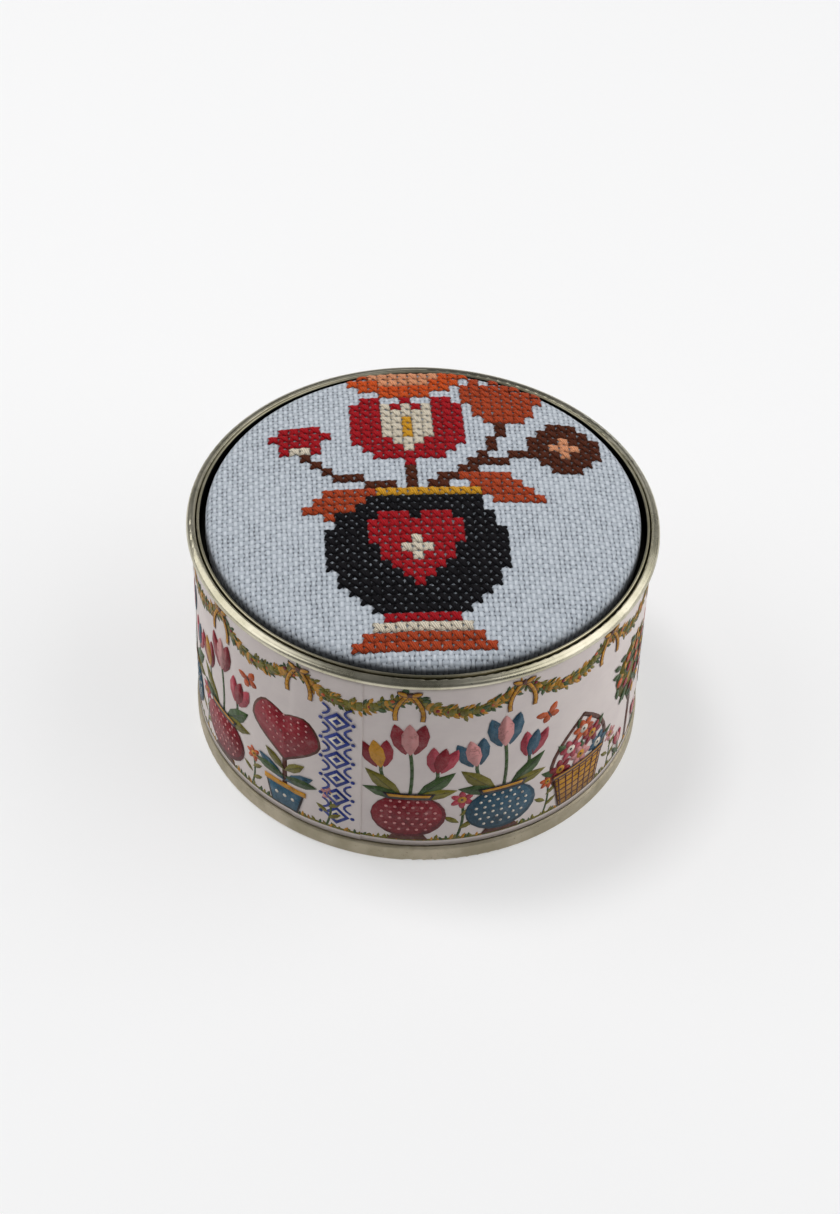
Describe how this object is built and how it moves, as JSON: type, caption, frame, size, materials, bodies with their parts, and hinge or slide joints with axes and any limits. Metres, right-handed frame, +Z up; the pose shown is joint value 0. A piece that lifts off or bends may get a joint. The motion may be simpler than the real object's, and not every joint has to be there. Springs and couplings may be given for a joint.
{
  "type": "sewing tin",
  "caption": "Low round metal tin in a wrapped paper label, with a lift-off tray lid that holds a padded, cross-stitched pincushion.",
  "frame": {"origin": "centre of the foot ring, on the surface that the tin stands on", "axes": "+Z up through the lid, along the can's axis; -Y towards the side where the label's end shows; +X to the right of that side"},
  "size_m": [0.087, 0.087, 0.0518],
  "materials": {
    "tinplate": "bright rolled tinplate with a warm champagne tint, soft gloss",
    "tray_tinplate": "bright rolled tinplate, soft gloss",
    "sealing_compound": "matte grey can-sealing rubber",
    "printed_paper": "off-white label paper with a satin varnish and a printed folk-flower border",
    "cover_cloth": "matte grey-blue evenweave cloth",
    "wadding": "white polyester wadding",
    "card": "grey-brown pulp card",
    "gathering_thread": "white linen thread",
    "thread_orange": "orange stranded cotton with a soft sheen",
    "thread_peach": "peach stranded cotton with a soft sheen",
    "thread_red": "red stranded cotton with a soft sheen",
    "thread_cream": "cream stranded cotton with a soft sheen",
    "thread_gold": "gold stranded cotton with a soft sheen",
    "thread_black": "black stranded cotton with a soft sheen",
    "thread_rust": "rust stranded cotton with a soft sheen",
    "thread_brown": "brown stranded cotton with a soft sheen"
  },
  "bodies": {
    "tin": {"can_body": "tinplate", "bottom_end": "tinplate", "top_ring": "tinplate", "top_seam_compound": "sealing_compound", "bottom_seam_compound": "sealing_compound", "label_wrap": "printed_paper"},
    "lid": {"lid_tray": "tray_tinplate", "cushion_cover": "cover_cloth", "cushion_wadding": "wadding", "cushion_board": "card", "gathering_thread": "gathering_thread", "embroidery_orange": "thread_orange", "embroidery_peach": "thread_peach", "embroidery_red": "thread_red", "embroidery_cream": "thread_cream", "embroidery_gold": "thread_gold", "embroidery_black": "thread_black", "embroidery_rust": "thread_rust", "embroidery_brown": "thread_brown"}
  },
  "joints": [
    {"name": "lid_lift", "type": "slide", "parent": "tin", "child": "lid", "axis": [0, 0, 1], "range_m": [0, 0.06]}
  ]
}
